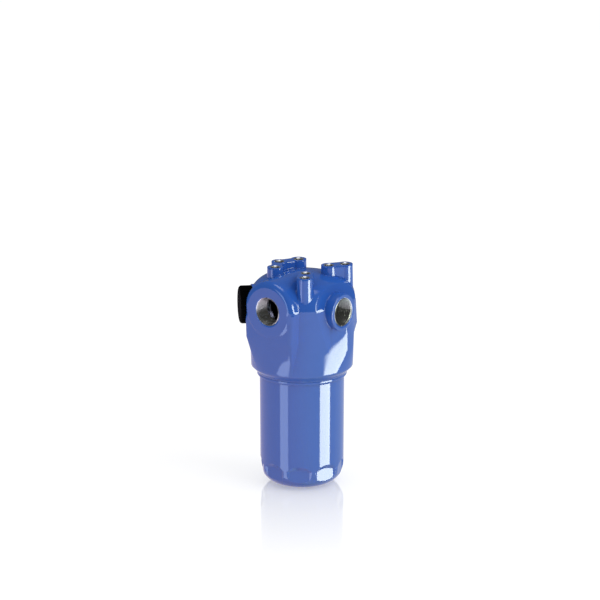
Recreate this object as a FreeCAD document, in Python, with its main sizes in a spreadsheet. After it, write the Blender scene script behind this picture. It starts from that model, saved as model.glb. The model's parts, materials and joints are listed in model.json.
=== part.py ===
import FreeCAD, Part
import math
import os
import Sketcher
from FreeCAD import Placement, Rotation, Vector

# Low pressure filter for a hydraulic line.
# A cast head carries the two ports, the mounting bosses and the indicator port.
# A bowl screws into it from below and holds the element, which hangs on a spigot.
# Frame: origin at the centre of the bowl's foot, +Z up the bowl's axis,
# +X through the outlet port and -Y through the inlet port. Millimetres.

doc = FreeCAD.newDocument("LowPressureFilter")
sheet = doc.addObject("Spreadsheet::Sheet", "Sizes")

driving_sizes = {
    # Bowl
    "bowl_outer_r": 40.0,
    "bowl_foot_r": 39.4,
    "bowl_wall": 6.0,
    "bowl_floor": 8.0,
    "bowl_foot_round": 18.5,
    "bowl_floor_round": 13.0,
    "collar_r": 42.5,
    "collar_thick": 2.8,
    "collar_round": 1.2,
    "spanner_flats": 9,
    "flat_turn": 23.8,
    "flat_plane": 36.6,
    "flat_half_width": 9.3,
    "flat_top_z": 21.0,
    "flat_arch": 2.0,
    "flat_mouth_arch": 5.9,
    "flat_wall_spread": 2.5,
    "flat_top_spread": 1.35,
    # Joint between bowl and head
    "seal_land_r": 41.2,
    "seal_land_long": 10.6,
    "seal_groove_r": 38.3,
    "seal_groove_wide": 5.6,
    "seal_groove_up": 2.6,
    "bowl_thread_r": 40.0,
    "bowl_thread_long": 14.0,
    "bowl_mouth_lip": 2.0,
    "running_gap": 0.08,
    # Head casting
    "head_foot_z": 109.4,
    "head_foot_r": 42.8,
    "head_lip_long": 1.1,
    "barrel_r": 48.1,
    "dome_apex_z": 204.6,
    "dome_r": 135.0,
    "shoulder_flare": 2.0,
    "shoulder_round": 22.0,
    "side_foot_x": 48.1,
    "side_foot_z": 116.8,
    "side_top_x": 40.4,
    "side_top_z": 176.0,
    "rib_foot_r": 47.7,
    "rib_foot_half": 36.0,
    "rib_foot_z": 116.3,
    "rib_top_r": 12.3,
    "rib_top_half": 9.4,
    "rib_top_x": 36.5,
    "rib_top_z": 162.0,
    "rib_root_x": 12.0,
    "boss_top_z": 211.0,
    "boss_r": 7.4,
    "boss_draft": 1.2,
    "boss_root_z": 184.0,
    "web_half": 4.9,
    "wide_web_half": 6.9,
    "square_half": 18.0,
    "pair_x": 27.0,
    "pair_y": 31.0,
    "single_x": 27.0,
    "tap_r": 4.0,
    "tap_deep": 14.0,
    "tap_mouth": 0.8,
    # Ports
    "inlet_z": 178.1,
    "inlet_stand": 2.5,
    "inlet_boss_r": 28.35,
    "inlet_face_round": 5.4,
    "outlet_z": 174.4,
    "outlet_reach": 48.8,
    "outlet_boss_r": 17.6,
    "port_r": 13.22,
    "inlet_deep": 15.0,
    "outlet_deep": 17.0,
    "port_mouth": 0.6,
    "port_core_r": 11.6,
    "inlet_tail": 22.0,
    "inlet_tail_taper": 12.0,
    "blank_z": 172.0,
    "blank_boss_r": 26.0,
    "gusset_half": 21.2,
    "gusset_foot_z": 116.3,
    "gusset_top_z": 149.4,
    "gusset_top_half": 27.4,
    "gusset_foot_corner": 0.4,
    "gusset_corner": 2.5,
    "gusset_back": 20.0,
    "gusset_recess": 1.0,
    # Chambers inside the head
    "chamber_r": 34.8,
    "chamber_top_z": 189.0,
    "chamber_round": 6.0,
    "hub_r": 19.0,
    "hub_foot_z": 154.0,
    "duct_r": 16.4,
    # Indicator port on the diagonal
    "plug_z": 175.5,
    "plug_reach": 47.6,
    "plug_boss_r": 19.0,
    "plug_boss_root": 26.0,
    "plug_thread_r": 10.4,
    "plug_thread_long": 11.0,
    "plug_head_r": 17.9,
    "plug_head_thick": 11.9,
    "plug_head_round": 2.6,
    "plug_grips": 30,
    "plug_grip_r": 0.9,
    "plug_grip_foot": 1.6,
    "plug_seal_cord_r": 1.2,
    "plug_seal_ring_r": 12.8,
    "seal_room": 0.4,
    "plug_room": 0.9,
    # Bowl seal
    "seal_cord_r": 1.46,
    "backup_thick": 1.4,
    # Spigot
    "spigot_r": 11.4,
    "spigot_bore_r": 8.5,
    "spigot_foot_z": 137.0,
    "spigot_flange_r": 17.0,
    "spigot_flange_thick": 3.2,
    "spigot_thread_long": 8.5,
    "spigot_key_r": 10.0,
    "spigot_key_deep": 6.0,
    "spigot_seal_cord_r": 0.9,
    # Element
    "media_outer_r": 27.0,
    "media_inner_r": 15.0,
    "media_fold": 4.6,
    "media_tip_half": 0.45,
    "media_pleats": 36,
    "element_foot_z": 20.0,
    "element_top_z": 143.0,
    "cap_rim": 4.0,
    "cap_plate": 1.2,
    "cap_wall": 0.8,
    "cap_play": 0.3,
    "potting_thick": 2.4,
    "core_r": 13.6,
    "core_wall": 1.0,
    "core_hole_r": 3.0,
    "core_rows": 6,
    "core_columns": 6,
    "neck_r": 15.4,
    "neck_long": 6.4,
    "neck_seal_cord_r": 1.2,
    # Bypass valve in the lower cap
    "bypass_hole_r": 7.0,
    "poppet_r": 8.6,
    "poppet_thick": 2.0,
    "stem_r": 2.0,
    "stem_long": 22.0,
    "cage_r": 11.6,
    "cage_foot_wide": 1.8,
    "cage_high": 17.0,
    "cage_plate": 1.0,
    "cage_leg_half": 2.2,
    "bypass_wire_r": 0.7,
    "bypass_coil_r": 6.4,
    "bypass_turns": 4,
}


class Size:
    # A length that carries both its number and its spreadsheet formula.
    def __init__(self, value, text=None):
        self.value = float(value)
        self.text = text if text is not None else repr(float(value))

    def _with(self, other, sign, value):
        other_text = other.text if isinstance(other, Size) else repr(float(other))
        return Size(value, "(" + self.text + " " + sign + " " + other_text + ")")

    def __add__(self, other):
        return self._with(other, "+", self.value + number(other))

    def __sub__(self, other):
        return self._with(other, "-", self.value - number(other))

    def __mul__(self, other):
        return self._with(other, "*", self.value * number(other))

    def __truediv__(self, other):
        return self._with(other, "/", self.value / number(other))

    def __neg__(self):
        return Size(-self.value, "(0 - " + self.text + ")")


def number(item):
    return item.value if isinstance(item, Size) else float(item)


def as_size(item):
    return item if isinstance(item, Size) else Size(item)


def root(item):
    return Size(math.sqrt(item.value), "sqrt(" + item.text + ")")


for row, (alias, value) in enumerate(driving_sizes.items(), start=1):
    sheet.set("A" + str(row), alias.replace("_", " "))
    sheet.set("B" + str(row), str(value))
    sheet.setAlias("B" + str(row), alias)
doc.recompute()


class Drawing:
    pass


z = Drawing()
for alias in driving_sizes:
    setattr(z, alias, Size(sheet.get(alias), "Sizes." + alias))

zero = Size(0)
collar_top_z = z.head_foot_z - 0.3
collar_foot_z = collar_top_z - z.collar_thick
land_top_z = collar_top_z + z.seal_land_long
thread_top_z = land_top_z + z.bowl_thread_long
bowl_top_z = thread_top_z + z.bowl_mouth_lip
bowl_bore_r = z.bowl_outer_r - z.bowl_wall
groove_foot_z = collar_top_z + z.seal_groove_up
groove_top_z = groove_foot_z + z.seal_groove_wide
media_foot_z = z.element_foot_z + z.cap_plate + z.potting_thick
media_top_z = z.element_top_z - z.cap_plate - z.potting_thick
diagonal = math.sqrt(0.5)


def bind(item, path, size):
    if isinstance(size, Size) and "Sizes." in size.text:
        item.setExpression(path, size.text)


def plane(body, role):
    return next(item for item in body.Origin.OriginFeatures if item.Role == role)


def keeps_seams(body):
    # The casting's many faces stay as they were cut; on the other pieces neighbours are merged.
    return body.Label == "filter_head"


def new_body(label):
    body = doc.addObject("PartDesign::Body", label)
    body.Label = label
    return body


def new_sketch(body, name, role="XZ_Plane", lift=None, turn=None):
    # lift moves the sketch along its own normal, turn swings it about the plane's own Y.
    sketch = body.newObject("Sketcher::SketchObject", name)
    sketch.AttachmentSupport = (plane(body, role), [""])
    sketch.MapMode = "FlatFace"
    if turn is not None:
        sketch.AttachmentOffset = Placement(Vector(), Rotation(Vector(0, 1, 0), number(turn)))
        bind(sketch, "AttachmentOffset.Rotation.Angle", turn)
    if lift is not None and turn is not None:
        swing = as_size(turn).text
        bind(sketch, "AttachmentOffset.Base.x", Size(0, lift.text + " * sin(" + swing + " * 1 deg)"))
        bind(sketch, "AttachmentOffset.Base.z", Size(0, lift.text + " * cos(" + swing + " * 1 deg)"))
    elif lift is not None:
        bind(sketch, "AttachmentOffset.Base.z", lift)
    sketch.Visibility = False
    return sketch


def pin(sketch, edge, end, point):
    # Holds one point of the sketch at two sizes measured from the origin.
    for kind, axis, size in (("DistanceX", -2, point[0]), ("DistanceY", -1, point[1])):
        size = as_size(size)
        if size.text == zero.text:
            sketch.addConstraint(Sketcher.Constraint("PointOnObject", edge, end, axis))
            continue
        index = sketch.addConstraint(Sketcher.Constraint(kind, -1, 1, edge, end, size.value))
        bind(sketch, "Constraints[" + str(index) + "]", size)


def circle(sketch, x, y, r):
    x, y, r = as_size(x), as_size(y), as_size(r)
    edge = sketch.addGeometry(Part.Circle(Vector(x.value, y.value, 0), Vector(0, 0, 1), r.value), False)
    pin(sketch, edge, 3, (x, y))
    index = sketch.addConstraint(Sketcher.Constraint("Radius", edge, r.value))
    bind(sketch, "Constraints[" + str(index) + "]", r)


def arc_between(start, finish, bend):
    # Arc of radius bend; a negative bend curves to the other side of the way it runs.
    span = finish - start
    rise = math.sqrt(max(bend * bend - span.Length * span.Length / 4, 0))
    side = Vector(-span.y, span.x, 0).normalize() * (rise if bend > 0 else -rise)
    centre = (start + finish) / 2 + side
    first, last = (start, finish) if bend > 0 else (finish, start)
    first_angle = math.atan2(first.y - centre.y, first.x - centre.x)
    last_angle = math.atan2(last.y - centre.y, last.x - centre.x)
    whole = Part.Circle(centre, Vector(0, 0, 1), abs(bend))
    return Part.ArcOfCircle(whole, first_angle, last_angle)


def polygon(sketch, corners):
    # Closed outline; a corner with a third item starts an arc of that radius.
    points = [(as_size(corner[0]), as_size(corner[1])) for corner in corners]
    bends = [as_size(corner[2]) if len(corner) > 2 else None for corner in corners]
    edges = []
    for here, there, bend in zip(points, points[1:] + points[:1], bends):
        start = Vector(here[0].value, here[1].value, 0)
        finish = Vector(there[0].value, there[1].value, 0)
        if bend is None:
            edges.append((sketch.addGeometry(Part.LineSegment(start, finish), False), 1, 2))
            continue
        edge = sketch.addGeometry(arc_between(start, finish, bend.value), False)
        edges.append((edge, 1, 2) if bend.value > 0 else (edge, 2, 1))
    for (edge, _, out), (after, into, _) in zip(edges, edges[1:] + edges[:1]):
        sketch.addConstraint(Sketcher.Constraint("Coincident", edge, out, after, into))
    for (edge, into, _), point in zip(edges, points):
        pin(sketch, edge, into, point)
    for (edge, _, _), bend in zip(edges, bends):
        if bend is not None:
            size = bend if bend.value > 0 else -bend
            index = sketch.addConstraint(Sketcher.Constraint("Radius", edge, size.value))
            bind(sketch, "Constraints[" + str(index) + "]", size)


def rectangle(sketch, low_x, low_y, high_x, high_y):
    polygon(sketch, [(low_x, low_y), (high_x, low_y), (high_x, high_y), (low_x, high_y)])


def turned(body, name, corners, cut=False):
    # A revolved profile of radius and height pairs about the body's own Z.
    sketch = new_sketch(body, name + "Profile")
    polygon(sketch, corners)
    kind = "PartDesign::Groove" if cut else "PartDesign::Revolution"
    feature = body.newObject(kind, name)
    feature.Profile = sketch
    feature.ReferenceAxis = (sketch, ["V_Axis"])
    feature.Refine = not keeps_seams(body)
    feature.Angle = 360.0
    doc.recompute()
    return feature


def extruded(body, name, sketch, length, cut=False, back=False, both=False, taper=None):
    kind = "PartDesign::Pocket" if cut else "PartDesign::Pad"
    feature = body.newObject(kind, name)
    feature.Profile = sketch
    feature.Length = number(length)
    bind(feature, "Length", length)
    feature.Reversed = back
    feature.Refine = not keeps_seams(body)
    if both:
        feature.SideType = "Symmetric"
    if taper is not None:
        feature.TaperAngle = number(taper)
        bind(feature, "TaperAngle", taper)
    doc.recompute()
    return feature


def edges_of(feature, wanted):
    return ["Edge" + str(i) for i, edge in enumerate(feature.Shape.Edges, start=1) if wanted(edge)]


def rounded(body, name, radius, wanted, chamfer=False):
    base = body.Tip
    feature = body.newObject("PartDesign::Chamfer" if chamfer else "PartDesign::Fillet", name)
    feature.Base = (base, edges_of(base, wanted))
    path = "Size" if chamfer else "Radius"
    setattr(feature, path, number(radius))
    bind(feature, path, radius)
    doc.recompute()
    return feature


def repeated(body, name, features, count):
    feature = body.newObject("PartDesign::PolarPattern", name)
    feature.Originals = features
    feature.Axis = (plane(body, "Z_Axis"), [""])
    feature.Angle = 360.0
    feature.Occurrences = int(round(number(count)))
    bind(feature, "Occurrences", count)
    body.Tip = feature
    doc.recompute()
    return feature


def is_ring(edge, r, height, slack=0.05):
    # True for a circle about the Z axis with this radius at this height.
    curve = edge.Curve
    if not isinstance(curve, Part.Circle):
        return False
    centre = curve.Center
    on_axis = math.hypot(centre.x, centre.y) < slack
    return on_axis and abs(curve.Radius - number(r)) < slack and abs(centre.z - number(height)) < slack


def torus(label, ring_r, cord_r, height):
    ring = doc.addObject("Part::Torus", label)
    ring.Label = label
    bind(ring, "Radius1", as_size(ring_r))
    bind(ring, "Radius2", as_size(cord_r))
    bind(ring, "Placement.Base.z", as_size(height))
    return ring


# Bowl: a deep cup with a spanner grip at its foot, a collar, a seal land and a thread.
bowl = new_body("bowl")
turned(bowl, "BowlBlank", [
    (zero, zero),
    (z.bowl_foot_r, zero),
    (z.bowl_outer_r, collar_foot_z),
    (z.collar_r, collar_foot_z),
    (z.collar_r, collar_top_z),
    (z.seal_land_r, collar_top_z),
    (z.seal_land_r, groove_foot_z),
    (z.seal_groove_r, groove_foot_z),
    (z.seal_groove_r, groove_top_z),
    (z.seal_land_r, groove_top_z),
    (z.seal_land_r, land_top_z),
    (z.bowl_thread_r, land_top_z + 0.6),
    (z.bowl_thread_r, thread_top_z),
    (z.bowl_thread_r - 1.6, thread_top_z + 1.0),
    (z.bowl_thread_r - 1.6, bowl_top_z),
    (zero, bowl_top_z),
])
rounded(bowl, "FootRound", z.bowl_foot_round, lambda edge: is_ring(edge, z.bowl_foot_r, zero))
rounded(bowl, "CollarRound", z.collar_round, lambda edge: (
    is_ring(edge, z.collar_r, collar_foot_z) or is_ring(edge, z.bowl_outer_r, collar_foot_z)))
turned(bowl, "BowlBore", [
    (zero, z.bowl_floor),
    (bowl_bore_r, z.bowl_floor),
    (bowl_bore_r, bowl_top_z + 1),
    (zero, bowl_top_z + 1),
], cut=True)
rounded(bowl, "FloorRound", z.bowl_floor_round, lambda edge: is_ring(edge, bowl_bore_r, z.bowl_floor))

# Spanner grip: arched flats round the foot, each with side walls that spread outwards.
flat_outside = z.bowl_outer_r + 1.0
flat_depth = flat_outside - z.flat_plane


def flat_outline(name, lift, half, top, arch):
    sketch = new_sketch(bowl, name, "YZ_Plane", lift, z.flat_turn)
    shoulder = top - arch
    bend = (half * half + arch * arch) / (arch * 2)
    foot = -flat_depth
    polygon(sketch, [
        (-half, foot), (half, foot), (half, shoulder, bend), (zero, top, bend), (-half, shoulder)])
    return sketch


inner_flat = flat_outline("FlatPlane", z.flat_plane, z.flat_half_width, z.flat_top_z, z.flat_arch)
outer_flat = flat_outline(
    "FlatMouth",
    flat_outside,
    z.flat_half_width + flat_depth * z.flat_wall_spread,
    z.flat_top_z + flat_depth * z.flat_top_spread,
    z.flat_mouth_arch)
spanner_flat = bowl.newObject("PartDesign::SubtractiveLoft", "SpannerFlat")
spanner_flat.Profile = inner_flat
spanner_flat.Sections = [(outer_flat, [""])]
spanner_flat.Ruled = True
doc.recompute()
repeated(bowl, "SpannerGrip", [spanner_flat], z.spanner_flats)

# Bowl seal: an O-ring above its backup ring, both in the groove of the seal land.
bowl_o_ring = torus("bowl_o_ring", z.seal_groove_r + z.seal_cord_r + 0.02, z.seal_cord_r,
                    groove_foot_z + z.backup_thick + z.seal_cord_r)
backup_ring = new_body("bowl_backup_ring")
turned(backup_ring, "BackupRing", [
    (z.seal_groove_r + 0.02, groove_foot_z),
    (z.seal_land_r - 0.1, groove_foot_z),
    (z.seal_land_r - 0.1, groove_foot_z + z.backup_thick),
    (z.seal_groove_r + 0.02, groove_foot_z + z.backup_thick),
])

# Head: the outside of the casting.
head = new_body("filter_head")
lip_top_z = z.head_foot_z + z.head_lip_long
barrel_foot_z = lip_top_z + z.barrel_r - z.head_foot_r
shoulder_r = z.barrel_r + z.shoulder_flare
dome_centre_z = z.dome_apex_z - z.dome_r
dome_inner = z.dome_r - z.shoulder_round
shoulder_inner = shoulder_r - z.shoulder_round
shoulder_rise = root(dome_inner * dome_inner - shoulder_inner * shoulder_inner)
shoulder_z = dome_centre_z + shoulder_rise
dome_edge_r = z.dome_r * shoulder_inner / dome_inner
dome_edge_z = dome_centre_z + z.dome_r * shoulder_rise / dome_inner
turned(head, "HeadBlank", [
    (zero, z.head_foot_z),
    (z.head_foot_r, z.head_foot_z),
    (z.head_foot_r, lip_top_z),
    (z.barrel_r, barrel_foot_z),
    (shoulder_r, shoulder_z, z.shoulder_round),
    (dome_edge_r, dome_edge_z, z.dome_r),
    (zero, z.dome_apex_z),
])

# Leaning flats on both sides, from the barrel's foot up into the dome.
lean = (z.side_foot_x - z.side_top_x) / (z.side_top_z - z.side_foot_z)
side_end_x = z.side_top_x - lean * (z.boss_top_z - z.side_top_z)
outside_x = shoulder_r + 10
inlet_reach = shoulder_r + z.inlet_stand
boss_long = z.boss_top_z - z.boss_root_z
side_sketch = new_sketch(head, "SideOutline")
polygon(side_sketch, [
    (z.side_foot_x, z.side_foot_z), (outside_x, z.side_foot_z),
    (outside_x, z.boss_top_z), (side_end_x, z.boss_top_z)])
extruded(head, "OutletSide", side_sketch, outside_x * 2, cut=True, both=True)
back_sketch = new_sketch(head, "BackOutline")
polygon(back_sketch, [
    (-z.side_foot_x, z.side_foot_z), (-side_end_x, z.boss_top_z),
    (-outside_x, z.boss_top_z), (-outside_x, z.side_foot_z)])
extruded(head, "BackSide", back_sketch, outside_x * 2, cut=True, both=True)

# Outlet boss.
outlet_sketch = new_sketch(head, "OutletCircle", "YZ_Plane")
circle(outlet_sketch, zero, z.outlet_z, z.outlet_boss_r)
extruded(head, "OutletBoss", outlet_sketch, z.outlet_reach)

# Inlet bar: a round bar from the inlet's face that runs out under the dome.
inlet_sketch = new_sketch(head, "InletBar")
circle(inlet_sketch, zero, z.inlet_z, z.inlet_boss_r)
extruded(head, "InletBoss", inlet_sketch, inlet_reach)
tail_sketch = new_sketch(head, "InletTailCircle")
circle(tail_sketch, zero, z.inlet_z, z.inlet_boss_r)
extruded(head, "InletTail", tail_sketch, z.inlet_tail, back=True, taper=-z.inlet_tail_taper)
blank_sketch = new_sketch(head, "BlankBar")
circle(blank_sketch, zero, z.blank_z, z.blank_boss_r)
extruded(head, "BlankBoss", blank_sketch, inlet_reach, back=True)


def is_bar_rim(edge):
    curve = edge.Curve
    return isinstance(curve, Part.Circle) and abs(abs(curve.Center.y) - inlet_reach.value) < 0.01


rounded(head, "BarRims", z.inlet_face_round, is_bar_rim)


def gusset(name, side, top_z, top_half):
    # Fills the corner under one bar, from the barrel's arc to a flat front with rounded corners.
    back = z.gusset_back * side
    front = (inlet_reach - z.gusset_recess) * side
    arc_y = root(z.barrel_r * z.barrel_r - z.gusset_half * z.gusset_half) * side
    feature_sections = []
    levels = [
        (z.gusset_foot_z, z.gusset_half, arc_y, z.gusset_foot_corner, z.barrel_r),
        (z.gusset_top_z, z.gusset_top_half, front, z.gusset_corner, None),
        (top_z, top_half, front, z.gusset_corner, None),
    ]
    for step, (height, half, edge_y, corner, front_bend) in enumerate(levels):
        half = half * side
        inset = corner * side
        sketch = new_sketch(head, name + "Level" + str(step), "XY_Plane", height)
        front_start = (half - inset, edge_y) if front_bend is None else (half - inset, edge_y, front_bend)
        polygon(sketch, [
            (half, back),
            (half, edge_y - inset, corner),
            front_start,
            (inset - half, edge_y, corner),
            (-half, edge_y - inset),
            (-half, back),
        ])
        feature_sections.append(sketch)
    feature = head.newObject("PartDesign::AdditiveLoft", name)
    feature.Profile = feature_sections[0]
    feature.Sections = [(sketch, [""]) for sketch in feature_sections[1:]]
    feature.Ruled = True
    feature.Refine = False
    doc.recompute()


gusset("InletGusset", -1, z.inlet_z, z.inlet_boss_r - 0.1)
gusset("BlankGusset", 1, z.blank_z, z.blank_boss_r - 0.1)

# Indicator boss on the diagonal between the inlet and the back.
plug_swing = Size(-45.0)
plug_boss = new_sketch(head, "PlugBossCircle", "XZ_Plane", z.plug_boss_root, plug_swing)
circle(plug_boss, zero, z.plug_z, z.plug_boss_r)
extruded(head, "PlugBoss", plug_boss, z.plug_reach - z.plug_boss_root)
spot_face = new_sketch(head, "PlugSpotFaceCircle", "XZ_Plane", z.plug_reach, plug_swing)
circle(spot_face, zero, z.plug_z, z.plug_head_r + z.plug_room)
extruded(head, "PlugSpotFace", spot_face, z.plug_head_thick * 2, cut=True, back=True)

# Mounting bosses and the webs between them, all level at the top.
boss_centres = {
    "A": (-z.square_half, -z.square_half),
    "B": (-z.single_x, zero),
    "C": (-z.square_half, z.square_half),
    "D": (z.square_half, -z.square_half),
    "E": (z.pair_x, -z.pair_y),
    "F": (z.square_half, z.square_half),
    "G": (z.pair_x, z.pair_y),
}
for letter, (x, y) in boss_centres.items():
    boss = new_sketch(head, "BossCircle" + letter, "XY_Plane", z.boss_top_z)
    circle(boss, x, y, z.boss_r)
    extruded(head, "Boss" + letter, boss, boss_long, back=True, taper=z.boss_draft)
web_halves = {"AB": z.web_half, "BC": z.web_half, "DE": z.wide_web_half, "FG": z.wide_web_half}
for (first, last), web_half in web_halves.items():
    (x, y), (end_x, end_y) = boss_centres[first], boss_centres[last]
    run_x, run_y = end_x - x, end_y - y
    length = root(run_x * run_x + run_y * run_y)
    off_x, off_y = web_half * run_y / length, web_half * run_x / length
    web = new_sketch(head, "WebOutline" + first + last, "XY_Plane", z.boss_top_z)
    polygon(web, [(x + off_x, y - off_y), (end_x + off_x, end_y - off_y),
                  (end_x - off_x, end_y + off_y), (x - off_x, y + off_y)])
    extruded(head, "Web" + first + last, web, boss_long, back=True)

# Rib under the outlet: it narrows from the barrel's round up to the outlet boss.
rib_levels = {
    "RibFoot": (z.rib_foot_z, zero, z.rib_foot_r, z.rib_foot_half),
    "RibTop": (z.rib_top_z, z.rib_top_x, z.rib_top_r, z.rib_top_half),
}
rib_sections = []
for name, (height, centre_x, r, half) in rib_levels.items():
    rib_section = new_sketch(head, name, "XY_Plane", height)
    edge_x = centre_x + root(r * r - half * half)
    polygon(rib_section, [(z.rib_root_x, -half), (edge_x, -half, r), (edge_x, half), (z.rib_root_x, half)])
    rib_sections.append(rib_section)
rib = head.newObject("PartDesign::AdditiveLoft", "OutletRib")
rib.Profile = rib_sections[0]
rib.Sections = [(rib_sections[1], [""])]
rib.Ruled = True
rib.Refine = False
doc.recompute()

# Head: the chambers and passages.
seal_bore_r = z.seal_land_r + z.running_gap
thread_bore_r = z.bowl_thread_r + z.running_gap
thread_bore_top_z = bowl_top_z + 1.0
turned(head, "BowlSocket", [
    (zero, z.head_foot_z - 1),
    (seal_bore_r, z.head_foot_z - 1),
    (seal_bore_r, land_top_z + 0.4),
    (thread_bore_r, land_top_z + 1.6),
    (thread_bore_r, thread_bore_top_z),
    (z.chamber_r, thread_bore_top_z),
    (z.chamber_r, z.chamber_top_z - z.chamber_round, z.chamber_round),
    (z.chamber_r - z.chamber_round, z.chamber_top_z),
    (z.hub_r + z.chamber_round, z.chamber_top_z, z.chamber_round),
    (z.hub_r, z.chamber_top_z - z.chamber_round),
    (z.hub_r, z.hub_foot_z),
    (zero, z.hub_foot_z),
], cut=True)
duct_sketch = new_sketch(head, "DuctCircle", "YZ_Plane", z.hub_r - 4)
circle(duct_sketch, zero, z.outlet_z, z.duct_r)
extruded(head, "OutletDuct", duct_sketch, z.chamber_r - z.hub_r + 6)
turned(head, "SpigotBore", [
    (zero, z.hub_foot_z - 1),
    (z.spigot_r + z.running_gap, z.hub_foot_z - 1),
    (z.spigot_r + z.running_gap, z.outlet_z),
    (zero, z.outlet_z),
], cut=True)


def drilled(name, role, height, face, depth, r, turn=None, taper=None):
    # Round hole from a port's face towards the bowl's axis.
    sketch = new_sketch(head, name + "Circle", role, face, turn)
    circle(sketch, zero, height, r)
    extruded(head, name, sketch, depth, cut=True, taper=taper)


drilled("OutletBore", "YZ_Plane", z.outlet_z, z.outlet_reach, z.outlet_reach + z.hub_r / 2, z.port_core_r)
drilled("OutletThread", "YZ_Plane", z.outlet_z, z.outlet_reach, z.outlet_deep, z.port_r)
drilled("InletBore", "XZ_Plane", z.inlet_z, inlet_reach, inlet_reach - z.hub_r - 6, z.port_core_r)
drilled("InletThread", "XZ_Plane", z.inlet_z, inlet_reach, z.inlet_deep, z.port_r)
drilled("PlugBore", "XZ_Plane", z.plug_z, z.plug_reach, z.plug_reach - z.hub_r - 6,
        z.plug_thread_r + z.running_gap, plug_swing)
mouth_r = z.port_r + z.port_mouth
mouth_taper = Size(-45)
drilled("OutletMouth", "YZ_Plane", z.outlet_z, z.outlet_reach, z.port_mouth, mouth_r, None, mouth_taper)
drilled("InletMouth", "XZ_Plane", z.inlet_z, inlet_reach, z.port_mouth, mouth_r, None, mouth_taper)
tap_sketch = new_sketch(head, "TapCircles", "XY_Plane", z.boss_top_z)
for x, y in boss_centres.values():
    circle(tap_sketch, x, y, z.tap_r)
extruded(head, "TappedHoles", tap_sketch, z.tap_deep, cut=True)


def is_tap_mouth(edge):
    curve = edge.Curve
    on_top = isinstance(curve, Part.Circle) and abs(curve.Center.z - z.boss_top_z.value) < 0.01
    return on_top and abs(curve.Radius - z.tap_r.value) < 0.01


rounded(head, "TapMouths", z.tap_mouth, is_tap_mouth, chamfer=True)

# Spigot: screwed up into the hub, with a hexagon key inside its foot.
spigot = new_body("spigot")
spigot_top_z = z.hub_foot_z + z.spigot_thread_long
flange_foot_z = z.hub_foot_z - z.spigot_flange_thick
spigot_groove_r = z.spigot_r + z.spigot_seal_cord_r * 2 + 0.3
turned(spigot, "SpigotTube", [
    (z.spigot_bore_r, z.spigot_foot_z),
    (z.spigot_r - 1, z.spigot_foot_z),
    (z.spigot_r, z.spigot_foot_z + 2),
    (z.spigot_r, flange_foot_z),
    (z.spigot_flange_r, flange_foot_z),
    (z.spigot_flange_r, z.hub_foot_z),
    (spigot_groove_r, z.hub_foot_z),
    (spigot_groove_r, z.hub_foot_z - z.spigot_seal_cord_r * 2),
    (z.spigot_r, z.hub_foot_z - z.spigot_seal_cord_r * 2),
    (z.spigot_r, spigot_top_z),
    (z.spigot_bore_r, spigot_top_z),
])
key_sketch = new_sketch(spigot, "KeyHexagon", "XY_Plane", z.spigot_foot_z)
key_corners = []
for step in range(6):
    bearing = math.radians(60 * step)
    key_corners.append((z.spigot_key_r * math.cos(bearing), z.spigot_key_r * math.sin(bearing)))
polygon(key_sketch, key_corners)
extruded(spigot, "Key", key_sketch, z.spigot_key_deep, cut=True, back=True)
spigot_seal = torus("spigot_o_ring", z.spigot_r + z.spigot_seal_cord_r + 0.1, z.spigot_seal_cord_r,
                    z.hub_foot_z - z.spigot_seal_cord_r)

# Element: two pressed caps, potted pleats and a drilled core tube.
cap_r = z.media_outer_r + z.cap_play + z.cap_wall
top_cap = new_body("element_top_cap")
cap_under_z = z.element_top_z - z.cap_plate
neck_top_z = z.element_top_z + z.neck_long
neck_bore_r = z.spigot_r + z.running_gap
neck_groove_r = z.spigot_r + z.neck_seal_cord_r * 2 + 0.1
neck_groove_foot_z = z.element_top_z + z.neck_long / 2 - z.neck_seal_cord_r - 0.1
neck_groove_top_z = neck_groove_foot_z + z.neck_seal_cord_r * 2 + 0.2
turned(top_cap, "TopCap", [
    (neck_bore_r, cap_under_z),
    (cap_r - z.cap_wall, cap_under_z),
    (cap_r - z.cap_wall, z.element_top_z - z.cap_rim),
    (cap_r, z.element_top_z - z.cap_rim),
    (cap_r, z.element_top_z),
    (z.neck_r, z.element_top_z),
    (z.neck_r, neck_top_z),
    (neck_bore_r, neck_top_z),
    (neck_bore_r, neck_groove_top_z),
    (neck_groove_r, neck_groove_top_z),
    (neck_groove_r, neck_groove_foot_z),
    (neck_bore_r, neck_groove_foot_z),
])
element_seal = torus("element_o_ring", z.spigot_r + z.neck_seal_cord_r + 0.05, z.neck_seal_cord_r,
                     z.element_top_z + z.neck_long / 2)
potting_inner_r = z.core_r + z.cap_play
potting_outer_r = cap_r - z.cap_wall


def potting(label, foot_z):
    body = new_body(label)
    turned(body, "Ring", [
        (potting_inner_r, foot_z),
        (potting_outer_r, foot_z),
        (potting_outer_r, foot_z + z.potting_thick),
        (potting_inner_r, foot_z + z.potting_thick),
    ])
    return body


top_potting = potting("top_potting", media_top_z)
bottom_potting = potting("bottom_potting", z.element_foot_z + z.cap_plate)

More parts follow.
